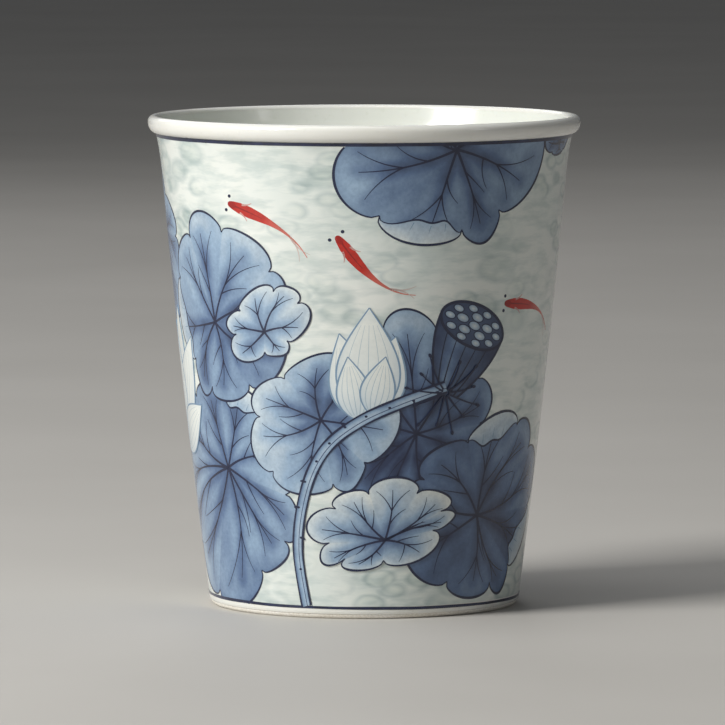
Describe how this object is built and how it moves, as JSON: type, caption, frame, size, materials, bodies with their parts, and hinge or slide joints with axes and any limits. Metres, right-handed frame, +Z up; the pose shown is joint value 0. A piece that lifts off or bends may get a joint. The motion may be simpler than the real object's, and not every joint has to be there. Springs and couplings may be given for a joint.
{
  "type": "teacup",
  "caption": "Handle-less tapered porcelain teacup with a rolled lip, foot ring and painted lotus, leaf and fish decoration.",
  "frame": {"origin": "centre of the foot ring, on the table", "axes": "+Z up along the cup's axis, -Y towards the painted front, +X to the right as seen from the front"},
  "size_m": [0.076, 0.076, 0.086],
  "materials": {
    "bare_porcelain": "matte, unglazed",
    "white_glaze": "gloss",
    "ground_glaze": "gloss",
    "cobalt": "gloss",
    "leaf_blue": "gloss",
    "leaf_pale": "gloss",
    "leaf_slate": "gloss",
    "leaf_dark": "gloss",
    "petal_white": "gloss",
    "vermilion": "gloss"
  },
  "bodies": {
    "root": {"porcelain_body": "bare_porcelain", "inside_glaze": "white_glaze", "lip_glaze": "white_glaze", "wall_glaze": "ground_glaze", "foot_glaze": "white_glaze", "base_glaze": "white_glaze", "rim_line": "cobalt", "foot_line": "cobalt", "leaf_hanging": "leaf_blue", "leaf_hanging_small": "leaf_blue", "leaf_far_left": "leaf_blue", "leaf_tall": "leaf_blue", "leaf_tall_curl": "leaf_pale", "lotus_flower": "petal_white", "leaf_wide": "leaf_blue", "leaf_middle": "leaf_pale", "leaf_behind_pod": "leaf_slate", "leaf_broad": "leaf_dark", "leaf_young": "leaf_pale", "lotus_bud": "petal_white", "lotus_stem": "leaf_pale", "seed_pod": "leaf_slate", "pod_stamens": "cobalt", "red_fish": "vermilion", "fish_eyes": "cobalt", "leaf_back_low": "leaf_blue", "leaf_back_tall": "leaf_blue", "leaf_back_hanging": "leaf_blue", "back_bud": "petal_white", "back_stem": "leaf_pale"}
  },
  "joints": []
}
